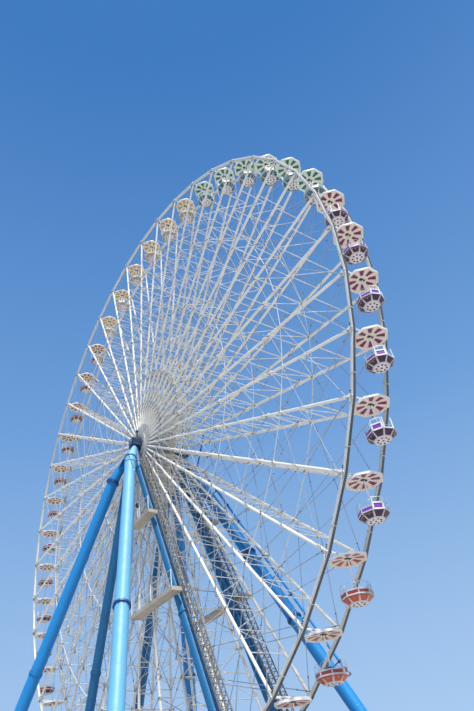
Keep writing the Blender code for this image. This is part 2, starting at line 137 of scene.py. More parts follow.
# Each finish: colour in percent, roughness, second colour, and what sets it apart from a plain paint
PAINTS = {
    CREAM: ((86, 80, 69), 0.38, (60, 52, 41), {"spread": 0.4}),
    "rim paint": ((68, 65, 57), 0.38, (46, 41, 33), {"spread": 0.5}),
    # Near-black colour for the rim's outward faces: painted shade
    "outer rim painted shade": ((7, 7.5, 8.5), 0.5, (15, 14, 12), {"spread": 0.6}),
    WHITE: ((90, 89, 86), 0.32, (66, 63, 57), {}),
    HUB_PAINT: ((66, 62, 54), 0.45, GRIME, {"spread": 0.6}),
    AZURE: ((0.1, 24, 59), 0.5, (0.1, 19, 49), {"coat": 0.2, "gloss": 0.4}),
    # A darker copy of the azure for the main legs: painted shade
    SHADED_AZURE: ((0.1, 13.5, 31), 0.5, (0.1, 9, 23), {"coat": 0.1, "gloss": 0.3}),
    # Paler copies of the azure for the front right outrigger and its cone: painted sunlight and highlight
    "faded azure paint": ((14, 41, 62), 0.50, (6, 31, 56), {"coat": 0.35, "gloss": 0.45}),
    "pale blue paint": ((26, 58, 82), 0.4, (10, 42, 70), {"coat": 0.5}),
    # Deep blue: the real paint of cables, collars and seams, and painted shade on the crown plates and the
    # cones of the main legs
    DEEP_BLUE_AND_SHADE: ((0.8, 7, 24), 0.35, (1, 4, 12), {"coat": 0.3}),
    NAVY: ((1, 3.5, 10), 0.38, (3, 3, 3.5), {"spread": 0.7}),
    DECK: ((52, 46, 36), 0.55, (30, 23, 15), {"spread": 0.6}),
    RUNG: ((22, 21, 19), 0.6, (10, 9, 8), {"spread": 0.7}),
    BASE: ((20, 23, 26), 0.5, RUST, {"spread": 0.45, "patch": 1.4}),
    ZINC: ((62, 64, 66), 0.42, (40, 41, 42), {"metal": 0.7, "patch": 14, "spread": 0.8}),
    "cable": ((32, 35, 40), 0.45, (46, 48, 52), {"metal": 0.3, "patch": 2.5, "spread": 0.7}),
    GREY: ((16, 17, 19), 0.42, (30, 29, 27), {"metal": 0.4, "spread": 0.5}),
    DARK: ((5, 5.5, 6.5), 0.42, RUST, {"metal": 0.5, "spread": 0.3}),
    "shaft steel": ((40, 41, 43), 0.3, (20, 19, 18), {"metal": 1.0}),
    TUB: ((58, 54, 54), 0.34, (38, 35, 34), {"coat": 0.1}),
    "tub floor": ((76, 70, 71), 0.5, (50, 44, 44), {"patch": 12}),
    "vent": ((1.2, 1, 1.2), 0.6, (3, 2.5, 2.5), {}),
    "walkway": ((34, 35, 36), 0.5, GRIME, {"metal": 0.6, "patch": 6}),
    LAMP: ((92, 90, 82), 0.12, None, {"coat": 0.6, "spread": 0.1}),
    "bench": ((36, 22, 12), 0.45, (20, 11, 5), {"patch": 8, "spread": 0.7}),
    "floor paint": ((52, 50, 46.5), 0.8, (48, 46, 43), {"patch": 0.2}),
}

# The painted parts of a cabin: roughness, and what sets them apart
GROUP_PARTS = {
    "roof": (0.42, {"coat": 0.2, "patch": 9, "spread": 0.2, "grain": 0.008}),
    "wedge": (0.40, {"coat": 0.2, "patch": 9, "spread": 0.3, "grain": 0.008}),
    "stripe": (0.42, {"coat": 0.2, "patch": 9, "spread": 0.2, "grain": 0.008}),
    "panel": (0.25, {"coat": 0.6, "patch": 7, "spread": 0.3}),
    "inset": (0.35, {"coat": 0.1, "patch": 7, "spread": 0.3}),
}

# Their colours in each group of six cabins, in percent and in the order of the groups round the wheel
# The roof colours are partly the canopies' own pale paint and partly painted light, made paler to stand for
# sunlight shining through the canopy
GROUP_COLOURS = {
    "teal": ((72, 78, 62), (1, 13, 11), (45, 66, 56), (2, 34, 36), (1, 14, 15)),
    "cream": ((86, 74, 50), (46, 30, 12), (80, 56, 30), (76, 62, 38), (42, 34, 22)),
    "brown": ((78, 62, 42), (17, 5, 3), (74, 42, 24), (46, 12, 6), (14, 3, 2)),
    "red": ((74, 62, 46), (12, 2, 2), (68, 34, 24), (36, 1.5, 4), (5, 0.6, 1.2)),
    "blue": ((64, 68, 72), (1, 3, 16), (40, 54, 78), (3, 12, 46), (1, 2, 9)),
    "orange": ((84, 70, 54), (34, 5, 3), (82, 38, 28), (30, 3.5, 2.2), (50, 7.5, 2.8)),
    "purple": ((86, 74, 56), (15, 0.8, 9), (84, 44, 50), (24, 5.5, 42), (4, 0.5, 4)),
}
GROUPS = tuple(GROUP_COLOURS)
FIRST_GROUP_LEAD = 5

# How every finish is worn: the shares of its patches, streaks, gloss and grain
PATCH_DETAIL, STREAKS, WEAR = 5, (9, 9, 0.7), (0.15, 0.42)
SECOND_SHARE, GLOSSIER, DULLER, LEAST_ROUGH = 0.55, 0.08, 0.18, 0.05
GRAIN_SCALE, GRAIN_DETAIL, GRAIN_STRENGTH = 90, 3, 0.25


def radial(k):
    a = FIRST_ANGLE + k * STEP
    return Vector((-sin(a), 0, cos(a)))


def on_spoke(k, radius, y, across=0.0):
    """The point at this radius on spoke k, counted counter-clockwise seen from the front."""
    out = radial(k)
    return HUB + out * radius + Y * y + Y.cross(out) * across


def axes(direction):
    """Two unit vectors across a direction."""
    d = direction.normalized()
    side = d.cross(X if abs(d.z) > 0.9 else Z).normalized()
    return side, side.cross(d)


def circle(middle, side, up, radius, sides, turn=0.5):
    angles = [(i + turn) * tau / sides for i in range(sides)]
    return [middle + side * (radius * cos(a)) + up * (radius * sin(a)) for a in angles]


class Shape:
    """Closed bars, plates and turned forms gathered into one mesh, each with the name of its finish."""

    def __init__(self):
        self.points, self.faces, self.looks, self.soft = [], [], [], []

    def face(self, corners, look, soft=False):
        self.faces.append(corners)
        self.looks.append(look)
        self.soft.append(soft)

    def strip(self, a, b, looks, soft=False):
        """Faces between the rings of points that start at a and b, with a look for each."""
        n = len(looks)
        for i, look in enumerate(looks):
            j = (i + 1) % n
            self.face((a + i, a + j, b + j, b + i), look, soft)

    def skin(self, rings, look, loop=False, smooth=True):
        """Joins rings of equal length. Unless the rings loop, flat ends close them."""
        start, n, count = len(self.points), len(rings[0]), len(rings)
        self.points += [tuple(p) for ring in rings for p in ring]
        for i in range(count if loop else count - 1):
            self.strip(start + i * n, start + (i + 1) % count * n, [look] * n, smooth)
        if not loop:
            last = start + (count - 1) * n
            self.face(tuple(range(start + n - 1, start - 1, -1)), look)
            self.face(tuple(range(last, last + n)), look)

    def tube(self, a, b, radius, look, sides=8):
        side, up = axes(b - a)
        self.skin([circle(a, side, up, radius, sides), circle(b, side, up, radius, sides)], look)

    def stud(self, foot, reach, radius, look, sides=6):
        """A round bar given by its foot and its reach."""
        self.tube(foot, foot + reach, radius, look, sides)

    def path(self, points, radius, look, sides=6, loop=False):
        """A bent round bar through the points."""
        count, rings = len(points), []
        side = None
        for i in range(count):
            before = points[i - 1] if loop or i else points[0]
            after = points[(i + 1) % count] if loop or i < count - 1 else points[-1]
            along = (after - before).normalized()
            side = axes(along)[0] if side is None else (side - along * side.dot(along)).normalized()
            rings.append(circle(points[i], side, side.cross(along), radius, sides))
        self.skin(rings, look, loop)

    def bar(self, a, b, width, height, look, up=Z):
        """A box-section bar. Its height is measured towards up."""
        along = (b - a).normalized()
        side = along.cross(up).normalized() * (width / 2)
        rise = side.cross(along).normalized() * (height / 2)
        corners = (side + rise, rise - side, -side - rise, side - rise)
        self.skin([[end + c for c in corners] for end in (a, b)], look, smooth=False)

    def box(self, low, high, look):
        low, high = Vector(low), Vector(high)
        middle = (low + high) / 2
        a, b = Vector((low.x, middle.y, middle.z)), Vector((high.x, middle.y, middle.z))
        self.bar(a, b, high.y - low.y, high.z - low.z, look)

    def plate(self, outline, thickness, look):
        self.skin([outline, [p + thickness for p in outline]], look, smooth=False)

    def turned(self, profile, origin, axis, look, sides=16, loop=False):
        """Turns points of a radius and a distance along the axis. A disc ends them unless they loop."""
        side, up = axes(axis)
        d = axis.normalized()
        self.skin([circle(origin + d * h, side, up, r, sides) for r, h in profile], look, loop)

    def ring(self, outer, inner, low, high, origin, axis, look, sides=32):
        """A flat ring with a hole."""
        profile = ((outer, low), (outer, high), (inner, high), (inner, low))
        self.turned(profile, origin, axis, look, sides, True)

    def ball(self, middle, radius, look, sides=6):
        rows = [radians(a) for a in (-75, -35, 0, 35, 75)]
        self.turned([(radius * cos(a), radius * sin(a)) for a in rows], middle, Z, look, sides)

    def bolts(self, middle, axis, radius, count, size, look, height=None):
        """A ring of hexagon heads standing on a face."""
        for place in circle(middle, *axes(axis), radius, count):
            self.stud(place, axis.normalized() * (height or size * 0.8), size, look)

    def make(self, name, body=None, slot=None):
        """Turns what was gathered into an object, and lets it ride on a body."""
        looks = list(dict.fromkeys(self.looks))
        mesh = bpy.data.meshes.new(name)
        mesh.from_pydata(self.points, [], self.faces)
        for look in looks:
            mesh.materials.append(FINISHES[look])
        mesh.polygons.foreach_set("material_index", [looks.index(look) for look in self.looks])
        mesh.polygons.foreach_set("use_smooth", self.soft)
        bm = bmesh.new()
        bm.from_mesh(mesh)
        bmesh.ops.recalc_face_normals(bm, faces=bm.faces)
        bm.to_mesh(mesh)
        bm.free()
        mesh.set_sharp_from_angle(angle=SHARP)
        return place_mesh(name, mesh, body)


def place_mesh(name, mesh, body=None, matrix=None):
    obj = bpy.data.objects.new(name, mesh)
    bpy.context.scene.collection.objects.link(obj)
    if matrix:
        obj.matrix_world = matrix
    if body:
        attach(obj, body)
    return obj


# Finishes

def feed(tree, node, inputs):
    """Gives each input of a node its value, or links it to the output that feeds it."""
    for name, value in inputs.items():
        if isinstance(value, bpy.types.NodeSocket):
            tree.links.new(value, node.inputs[name])
        else:
            node.inputs[name].default_value = value


def output(tree, kind, inputs, name):
    """Adds a shader node, feeds it, and returns one of its outputs."""
    # Maths nodes multiply, and mix nodes mix colours
    node = tree.nodes.new(f"ShaderNode{kind}")
    if kind == "Math":
        node.operation = "MULTIPLY"
    elif kind == "Mix":
        node.data_type = "RGBA"
    feed(tree, node, inputs)
    return node.outputs[name]


def finish(name, colour, rough, second=None, metal=0, coat=0, gloss=0.12, patch=3, spread=0.35, grain=0.02):
    """A worn surface: soft patches of a second colour, faint streaks, uneven gloss and a fine grain."""
    made = bpy.data.materials.new(name.replace(" ", "_"))
    made.use_nodes = True
    tree = made.node_tree
    place = output(tree, "TexCoord", {}, "Object")
    patches = output(tree, "TexNoise", {"Vector": place, "Scale": patch, "Detail": PATCH_DETAIL}, "Fac")
    stretched = output(tree, "Mapping", {"Vector": place, "Scale": STREAKS}, "Vector")
    streaks = output(tree, "TexNoise", {"Vector": stretched, "Scale": patch}, "Fac")
    both = output(tree, "Math", {0: patches, 1: streaks}, "Value")
    wear = {"Value": both, "From Min": WEAR[0], "From Max": WEAR[1], "To Max": spread}
    amount = output(tree, "MapRange", wear, "Result")
    worn = second or tuple(c * SECOND_SHARE for c in colour)
    fresh, worn = ((*(c / 100 for c in shade), 1) for shade in (colour, worn))
    blend = {"Factor": amount, "A": fresh, "B": worn}
    least, most = max(LEAST_ROUGH, rough - GLOSSIER), min(1, rough + DULLER)
    fine = output(tree, "TexNoise", {"Vector": place, "Scale": GRAIN_SCALE, "Detail": GRAIN_DETAIL}, "Fac")
    bump = {"Height": fine, "Strength": GRAIN_STRENGTH, "Distance": grain}
    feed(tree, tree.nodes["Principled BSDF"], {
        "Metallic": metal,
        "Coat Weight": coat,
        "Coat Roughness": gloss,
        "Base Color": output(tree, "Mix", blend, "Result"),
        "Roughness": output(tree, "MapRange", {"Value": patches, "To Min": least, "To Max": most}, "Result"),
        "Normal": output(tree, "Bump", bump, "Normal"),
    })
    return made


FINISHES = {look: finish(look, colour, rough, second, **more)
            for look, (colour, rough, second, more) in PAINTS.items()}
for owner, colours in GROUP_COLOURS.items():
    for (word, (roughness, extra)), paint_colour in zip(GROUP_PARTS.items(), colours):
        FINISHES[f"{owner} {word}"] = finish(f"{owner} {word}", paint_colour, roughness, **extra)


def repaint(node, look):
    """Gives a shown CAD node its finish."""
    for material_slot in frame["nodes"][node].material_slots:
        material_slot.material = FINISHES[look]


# Wheel

def rim(word, side):
    """Chamfered box girders from node to node, with painted shade on their outward faces."""
    form = Shape()
    half, cut = RIM_HALF, RIM_HALF - RIM_CHAMFER
    section = [(half, cut), (cut, half), (-cut, half), (-half, cut)]
    section += [(-u, -v) for u, v in section]
    rings = [[on_spoke(k, RADIUS + u, side * RIM_Y + v) for u, v in section] for k in range(CABINS)]
    form.skin(rings, "rim paint", loop=True, smooth=False)
    for k in range(CABINS):
        # The outward face of each girder takes the painted shade
        form.looks[(k + 1) * len(section) - 1] = "outer rim painted shade"
        rim_splices(form, k, side)
        rim_node(form, k, side)
    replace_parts(form.make(f"{word}_rim", "wheel", "lattice_white"), f"{word}_wheel_lattice")


def rim_splices(form, k, side):
    """A pair of bolted flange plates a third of the way along each girder."""
    flange, plate, gap, share = RIM_HALF + 0.007, 0.010, 0.002, 1 / 3
    bolt, head, pitch = 0.006, 0.008, 0.04
    start, end = (on_spoke(n, RADIUS, side * RIM_Y) for n in (k, k + 1))
    along = (end - start).normalized()
    out = along.cross(Y)
    for way in (-along, along):
        near = start.lerp(end, share) + way * gap
        face = near + way * plate
        form.bar(near, face, 2 * flange, 2 * flange, "rim paint", out)
        for u in (-pitch, 0, pitch):
            for v in (bolt - flange, flange - bolt):
                form.stud(face + out * v + Y * u, way * head, bolt, GREY)


def rim_node(form, k, side):
    """Bearing cap, gussets, cable lugs and a lamp where a spoke meets the rim."""
    cap, cap_step, bulb = ((0.045, 0), (0.045, 0.014), (0.032, 0.024), (0.032, 0.032)), 0.014, 0.015
    near, far, deep = 0.03, 0.15, 0.16
    out, inner = Y * side, RADIUS - RIM_HALF
    face = side * (RIM_Y + RIM_HALF)
    node = on_spoke(k, RADIUS, face)
    form.turned(cap, node, out, ZINC, 12)
    form.bolts(node + out * cap_step, out, 0.039, 6, 0.005, DARK)
    housing = on_spoke(k, RADIUS, side * (RIM_Y - RIM_HALF + 0.001))
    form.ring(0.044, 0.030, 0, 0.006, housing, -out, WHITE, 12)
    for hand in HANDS:
        outline = ((inner, far), (inner, near), (inner - deep, near))
        gusset = [on_spoke(k, radius, face - side * 0.026, hand * across) for radius, across in outline]
        form.plate(gusset, out * 0.010, CREAM)
    for across in (-0.10, -0.15):
        form.stud(on_spoke(k, inner - 0.008, face - side * 0.03, across), out * 0.05, 0.017, DARK, 8)
    socket = on_spoke(k, RADIUS, face, 0.10)
    form.stud(socket, out * 0.008, 0.02, DARK, 8)
    form.ball(socket + out * 0.014, bulb, LAMP)


def spokes(word, side):
    """Tubular chords of one plane, with their joints and the clamps of each bracing band."""
    form = Shape()
    y = side * RIM_Y
    clamps = [radius for band in BANDS for radius in band if radius < RADIUS - 1]
    for k in range(CABINS):
        form.tube(on_spoke(k, FLANGE - 0.06, y), on_spoke(k, RADIUS - 0.05, y), CHORD, CREAM, 12)
        for radius in clamps:
            clamp(form, on_spoke(k, radius, y), radial(k))
        for radius in JOINTS_ON_SPOKE:
            flanged_joint(form, on_spoke(k, radius, y), radial(k))
    form.make(f"{word}_spokes", "wheel", "lattice_white")


def clamp(form, place, out):
    """A collar round a chord, with an ear on each side for the cables."""
    form.stud(place - out * 0.035, out * 0.07, CHORD + 0.012, CREAM, 12)
    ear = Y.cross(out) * CLAMP_REACH
    form.bar(place - ear, place + ear, 0.05, 0.022, WHITE, out)


def flanged_joint(form, place, out):
    """Two flanges face to face, with a ring of bolts on each."""
    gap, thick = 0.002, 0.010
    for way in (-out, out):
        start = place + way * gap
        form.stud(start, way * thick, CHORD + 0.026, CREAM, 16)
        form.bolts(start + way * thick, way, CHORD + 0.014, 6, 0.007, ZINC)


def spoke_webs():
    """Struts and diagonals that tie the front chord of each spoke to the rear one."""
    form = Shape()
    for k in range(CABINS):
        for i, radius in enumerate(WEB_STATIONS):
            near = -RIM_Y if i % 2 else RIM_Y
            form.tube(on_spoke(k, radius, -RIM_Y), on_spoke(k, radius, RIM_Y), WEB, CREAM, 6)
            for beyond in WEB_STATIONS[i + 1:i + 2]:
                form.tube(on_spoke(k, radius, near), on_spoke(k, beyond, -near), WEB * 0.75, CREAM, 6)
    form.make("spoke_webs", "wheel", "lattice_white")


def stays(word, side):
    """Crossed cables of one plane. Each runs to the second spoke on, with a turnbuckle at each end."""
    form = Shape()
    for k in range(CABINS):
        for outer, inner in BANDS:
            for hand in HANDS:
                y = side * (RIM_Y + hand * STAY_OFFSET)
                start = on_spoke(k, outer, y, hand * STAY_START)
                end = on_spoke(k + 2 * hand, inner, y, -hand * STAY_END)
                stay(form, start, end)
                pin(form, start)
                pin(form, end)
                crossing_clamp(form, start, end, radial(k + hand))
    for k in range(CABINS):
        for radius in HOOPS:
            form.tube(*(on_spoke(n, radius, side * RIM_Y) for n in (k, k + 1)), ROD, CREAM, 6)
    form.make(f"{word}_stays", "wheel", "lattice_white")


def stay(form, start, end):
    """A cable, with a thin turnbuckle between two small forks at each end."""
    fork = ((0.012, -0.028), (0.019, -0.016), (0.019, 0.016), (0.012, 0.028))
    along = (end - start).normalized()
    body = min(TURNBUCKLE, (end - start).length * TURNBUCKLE_SHARE)
    form.tube(start, end, CABLE, "cable", 6)
    for point, way in ((start, along), (end, -along)):
        lead = point + way * FORK_GAP
        form.stud(lead, way * body, CABLE * 1.35, "cable")
        for place in (lead, lead + way * body):
            form.turned(fork, place, way, GREY, 6)


def chord_beside(place):
    """The point at the depth of the nearer plane of spokes."""
    return Vector((place.x, copysign(RIM_Y, place.y), place.z))


def pin(form, place):
    """A fork and its pin, which tie a cable end to the clamp beside it."""
    chord = chord_beside(place)
    form.stud(chord, (place - chord) * 1.25, PIN, GREY)


def crossing_clamp(form, start, end, out):
    """A saddle where a cable passes the spoke between its two ends."""
    normal = Y.cross(out)
    place = start.lerp(end, (HUB - start).dot(normal) / (end - start).dot(normal))
    form.bar(chord_beside(place), place, SADDLE, SADDLE, CREAM, out)


def hub_flanges():
    """Flanges that hold the chords, with a socket for each, their bolts and a cover."""
    for word, side in SIDES.items():
        form, cover = Shape(), Shape()
        out = Y * side
        middle = HUB + out * RIM_Y
        face = middle + out * FLANGE_HALF
        form.ring(FLANGE + 0.02, BORE, -0.05, FLANGE_HALF, middle, out, HUB_PAINT, CABINS)
        form.ring(0.52, COVER + 0.006, FLANGE_HALF, 0.075, middle, out, HUB_PAINT)
        form.bolts(face, out, 0.60, 28, 0.014, ZINC)
        form.bolts(face + out * 0.03, out, 0.44, 16, 0.018, DARK)
        for k in range(CABINS):
            form.stud(middle + radial(k) * (FLANGE - 0.07), radial(k) * 0.2, CHORD + 0.007, HUB_PAINT, 10)
        form.make(f"{word}_hub_flange", "wheel", "lattice_white")
        cover.ring(COVER, JOURNAL + 0.004, FLANGE_HALF + 0.002, 0.112, middle, out, NAVY, 40)
        cover.bolts(middle + out * 0.10, out, COVER - 0.03, 18, 0.010, ZINC, 0.014)
        cover.make(f"{word}_hub_cover", "wheel", "shaft_steel")


def drum_ribs():
    """Ribs along the hub drum, and a band round its middle."""
    form = Shape()
    reach, count = Y * (RIM_Y - 0.055), 12
    for place in circle(HUB, X, Z, DRUM + 0.01, count, 0):
        form.bar(place - reach, place + reach, 0.02, 0.10, HUB_PAINT, place - HUB)
    form.ring(DRUM + 0.1, DRUM + 0.002, -0.02, 0.02, HUB, Y, HUB_PAINT)
    form.make("drum_ribs", "wheel", "shaft_steel")


# Cabins

def corner(i, radius, z, turn=0.0):
    """Corner i of an eight-sided form round the cabin's post. The middle of side i is at turn 0.5."""
    a = (i + turn - 0.5) * OCTANT
    return Vector((radius * cos(a), radius * sin(a), z))


def octagon(radius, z):
    return [corner(i, radius, z) for i in range(8)]


def canopy_point(angle, share, lower):
    """A point on the roof's upper or lower skin, which is dished a little between its ribs."""
    offset = (angle + OCTANT / 2) % OCTANT - OCTANT / 2
    to_rib = abs(offset) / (OCTANT / 2)
    reach = (FLAT - SKIN_INSET) * share / cos(offset)
    dish = DISH * sin(pi * share) * (1 - to_rib ** 2)
    if lower:
        z = UNDER_MIDDLE + (UNDER_EDGE - UNDER_MIDDLE) * share + dish
    else:
        z = CANOPY_TOP + (CANOPY_EDGE - CANOPY_TOP) * share - dish
    return Vector((reach * cos(angle), reach * sin(angle), z))


def canopy_look(group, offset, share):
    """The painted pattern: a dark wedge in mid panel, and a thin stripe on each side of a rib."""
    if abs(offset) < WEDGE and WEDGE_START < share < WEDGE_END:
        return f"{group} wedge"
    if STRIPE_IN < abs(offset) < STRIPE_OUT and STRIPE_START < share < STRIPE_END:
        return f"{group} stripe"
    return WHITE if share < BOSS_SHARE else f"{group} roof"


def canopy_mesh(group):
    """Roof skins, edge band, ribs, hub fittings and bulbs of a canopy."""
    form = Shape()
    shares = (POST_SHARE, BOSS_SHARE, STRIPE_START, WEDGE_START, 0.55, 0.70, WEDGE_END, STRIPE_END, 1.0)
    offsets = (-OCTANT / 2, -STRIPE_OUT, -STRIPE_IN, -WEDGE, 0, WEDGE, STRIPE_IN, STRIPE_OUT, OCTANT / 2)
    angles = [i * OCTANT + offset for i in range(8) for offset in offsets[:-1]]
    count = len(angles)
    for lower in (False, True):
        start = len(form.points)
        form.points += [tuple(canopy_point(a, share, lower)) for share in shares for a in angles]
        for row in range(len(shares) - 1):
            share = (shares[row] + shares[row + 1]) / 2
            looks = [canopy_look(group, (a + b) / 2, share) for a, b in zip(offsets, offsets[1:])]
            form.strip(start + row * count, start + (row + 1) * count, looks * 8)
    skin = len(shares) * count
    for first in (0, skin - count):
        form.strip(first, skin + first, [WHITE] * count)
    edge_band(form)
    canopy_ribs(form)
    canopy_fittings(form, group)
    return form.make(f"{group}_canopy")


def edge_band(form):
    """White band round the canopy's edge, with a bead above and below and a row of bulbs."""
    top, bottom, inner = CANOPY_EDGE + 0.004, CANOPY_EDGE - CANOPY_LIP, CORNER - 0.012
    band = ((CORNER, top), (CORNER, bottom), (inner, bottom), (inner, top))
    form.skin([octagon(radius, z) for radius, z in band], WHITE, loop=True, smooth=False)
    for z in (top, bottom):
        form.path(octagon(CORNER - 0.005, z), 0.007, WHITE, loop=True)
    for i in range(8):
        here, there = (corner(n, inner, top + 0.014) for n in (i, i + 1))
        for share in BULB_PLACES:
            form.ball(here.lerp(there, share), 0.010, LAMP, 5)


def canopy_ribs(form):
    """Ribs on the roof, and thinner ones under it, from the post's head to each corner."""
    upper = (0.05, CANOPY_TOP - 0.012), (CORNER - 0.012, CANOPY_EDGE + 0.004), 0.008, 6
    lower = (0.07, UNDER_MIDDLE - 0.006), (CORNER - 0.014, UNDER_EDGE), 0.0045, 5
    for i in range(8):
        for start, end, radius, sides in (upper, lower):
            form.tube(corner(i, *start), corner(i, *end), radius, WHITE, sides)


def canopy_fittings(form, group):
    """The axle with its bearings, and the clamps that hold the post under the canopy."""
    reach = RIM_Y - RIM_HALF - 0.002
    finial = ((0.028, 0.0), (0.048, 0.010), (0.048, 0.020), (0.018, 0.026))
    form.tube(-Y * reach, Y * reach, 0.022, WHITE, 10)
    for out in (-Y, Y):
        form.stud(out * (reach - 0.03), out * 0.03, 0.028, ZINC, 10)
        form.bar(out * (reach - 0.06), out * 0.30 + Z * (CANOPY_TOP - 0.08), 0.018, 0.018, WHITE)
        block = out * 0.065 + Z * (UNDER_MIDDLE - 0.008)
        form.bar(block - X * 0.045, block + X * 0.045, 0.044, 0.026, DARK)
    form.turned(finial, Z * (CANOPY_TOP - 0.024), Z, f"{group} panel")
    form.turned(((0.034, 0), (0.05, 0.016), (0.05, 0.03)), Z * (UNDER_MIDDLE - 0.03), Z, DARK, 12)


def tub_mesh(group):
    """Open tub under the canopy."""
    form = Shape()
    tub_shell(form, group)
    tub_panels(form, group)
    tub_rails(form)
    tub_inside(form)
    return form.make(f"{group}_tub")


def tub_shell(form, group):
    """Tapered lower shell with a dark inset in each side, and the floor disc with its vents."""
    wall, edge = 0.012, 0.007
    profile = ((TUB_CORNER, WAIST_Z), (FLOOR_CORNER, FLOOR_Z), (FLOOR_CORNER - wall, FLOOR_Z + wall),
               (TUB_CORNER - wall, WAIST_Z))
    form.skin([octagon(radius, z) for radius, z in profile], TUB, loop=True, smooth=False)
    slope = atan2(TUB_CORNER - FLOOR_CORNER, WAIST_Z - FLOOR_Z)
    for i in range(8):
        outline = [side_point(i, u, v) for u, v in ((0.07, 0.05), (0.93, 0.05), (0.86, 0.82), (0.14, 0.82))]
        outward = corner(i, 1, 0, 0.5) * cos(slope) - Z * sin(slope)
        form.plate(outline, outward * 0.005, f"{group} inset")
        foot = corner(i, FLOOR_CORNER - 0.002, FLOOR_Z + 0.004)
        form.tube(corner(i, TUB_CORNER - 0.003, WAIST_Z), foot, edge, TUB, 6)
    form.plate(octagon(FLOOR_CORNER - 0.004, FLOOR_Z + 0.004), Z * wall, "tub floor")
    form.path(octagon(FLOOR_CORNER - 0.004, FLOOR_Z + 0.006), edge, TUB, loop=True)
    for place in [corner(i, VENT_CIRCLE, FLOOR_Z, 0.5) for i in range(8)] + [Z * FLOOR_Z]:
        form.stud(place, Z * 0.005, VENT, "vent", 12)


def side_point(i, u, v):
    """A point on the tapered side i: u runs along it from 0 to 1, and v from the waist down to the floor."""
    top = corner(i, TUB_CORNER, WAIST_Z).lerp(corner(i + 1, TUB_CORNER, WAIST_Z), u)
    bottom = corner(i, FLOOR_CORNER, FLOOR_Z).lerp(corner(i + 1, FLOOR_CORNER, FLOOR_Z), u)
    return top.lerp(bottom, v)


def tub_panels(form, group):
    """Coloured panels in frames, with a gate and an open doorway beside it."""
    inset, low = 0.08, WAIST_Z + 0.016
    for i in range(8):
        a, b = (corner(n, TUB_CORNER - 0.008, 0) for n in (i, i + 1))
        out = corner(i, 1, 0, 0.5)
        start, end = a.lerp(b, inset), a.lerp(b, 1 - inset)
        if i == DOORWAY:
            doorway(form, start, end, out)
            continue
        high = GATE_HEAD - 0.02 if i == GATE else RAIL_Z - 0.014
        panel = [start + Z * low, end + Z * low, end + Z * high, start + Z * high]
        form.plate(panel, -out * 0.008, f"{group} panel")
        if i == GATE:
            gate_frame(form, start + out * 0.006, end + out * 0.006, out)
        else:
            for z in (low, high):
                form.bar(start + Z * z, end + Z * z, 0.012, 0.014, TUB)


def gate_frame(form, start, end, out):
    """Broad white frame round the gate's panel, and thin posts that rise from it to a top bar."""
    thin, broad, low = 0.014, 0.018, WAIST_Z + 0.006
    for foot in (start, end):
        form.bar(foot + Z * low, foot + Z * GATE_HEAD, broad, 0.034, WHITE, (end - start).normalized())
        form.bar(foot + Z * GATE_HEAD, foot + Z * GATE_TOP, thin, thin, WHITE, out)
    for z in (low + 0.008, GATE_HEAD):
        form.bar(start + Z * z, end + Z * z, broad, 0.030, WHITE)
    form.bar(start + Z * GATE_TOP, end + Z * GATE_TOP, thin, thin, WHITE)
    for z in (low + 0.03, GATE_HEAD - 0.05):
        form.stud(start + out * 0.012 + Z * z, Z * 0.025, 0.008, ZINC)


def doorway(form, start, end, out):
    """Two tall posts, and a low sill with a chain across."""
    post, sill, hook, sag = 0.018, Z * (WAIST_Z + 0.012), Z * (RAIL_Z - 0.005), Z * 0.025
    for foot in (start, end):
        form.bar(foot + Z * WAIST_Z, foot + Z * GATE_TOP, post, post, WHITE, out)
    form.bar(start + sill, end + sill, 0.02, 0.022, WHITE)
    form.path([start + hook, (start + end) / 2 + hook - sag, end + hook], 0.005, ZINC, 5)


def tub_rails(form):
    """Corner posts, top and waist rails, and a bent grab rail above each panelled side."""
    post, rail, grab, waist = 0.012, 0.010, 0.0055, 0.011
    for i in range(8):
        here, there = (corner(n, TUB_CORNER - 0.01, 0) for n in (i, i + 1))
        form.tube(here + Z * WAIST_Z, here + Z * RAIL_Z, post, TUB)
        if i in PANELLED:
            form.tube(here + Z * RAIL_Z, there + Z * RAIL_Z, rail, TUB)
            rise = HOOP_TOP - RAIL_Z
            form.path([here.lerp(there, u) + Z * (RAIL_Z + rise * v) for u, v in GRAB_RAIL], grab, ZINC)
    form.path(octagon(TUB_CORNER - 0.004, WAIST_Z), waist, TUB, 8, loop=True)


def tub_inside(form):
    """Centre post with its hand wheel, and a slatted bench round the tub."""
    slats = ((0.362, 0.325), (0.317, 0.28), (0.272, 0.235))
    form.tube(Z * (FLOOR_Z + 0.01), Z * (UNDER_MIDDLE - 0.005), 0.021, WHITE, 12)
    form.turned(((0.05, 0), (0.05, 0.02), (0.03, 0.05)), Z * (FLOOR_Z + 0.014), Z, ZINC, 12)
    form.stud(Z * (HAND_WHEEL_Z - 0.03), Z * 0.06, 0.032, DARK, 10)
    form.path([corner(i / 2, HAND_WHEEL, HAND_WHEEL_Z) for i in range(16)], 0.009, DARK, loop=True)
    for i in (0, 2, 4, 6):
        inner = corner(i, 0.02, HAND_WHEEL_Z - 0.015)
        form.tube(inner, corner(i, HAND_WHEEL, HAND_WHEEL_Z), 0.006, ZINC, 6)
    for i in PANELLED:
        for outer, inner in slats:
            edges = ((i, outer), (i + 1, outer), (i + 1, inner), (i, inner))
            form.plate([corner(n, radius, SEAT_Z) for n, radius in edges], Z * 0.012, "bench")
        near, far = (corner(i, radius, SEAT_Z - 0.01, 0.5) for radius in (0.22, 0.31))
        form.bar(near, far, 0.03, 0.02, ZINC)
        top, foot = corner(i, 0.22, SEAT_Z, 0.5), corner(i, 0.17, FLOOR_Z + 0.015, 0.5)
        form.bar(top, foot, 0.02, 0.02, ZINC, X + Y)


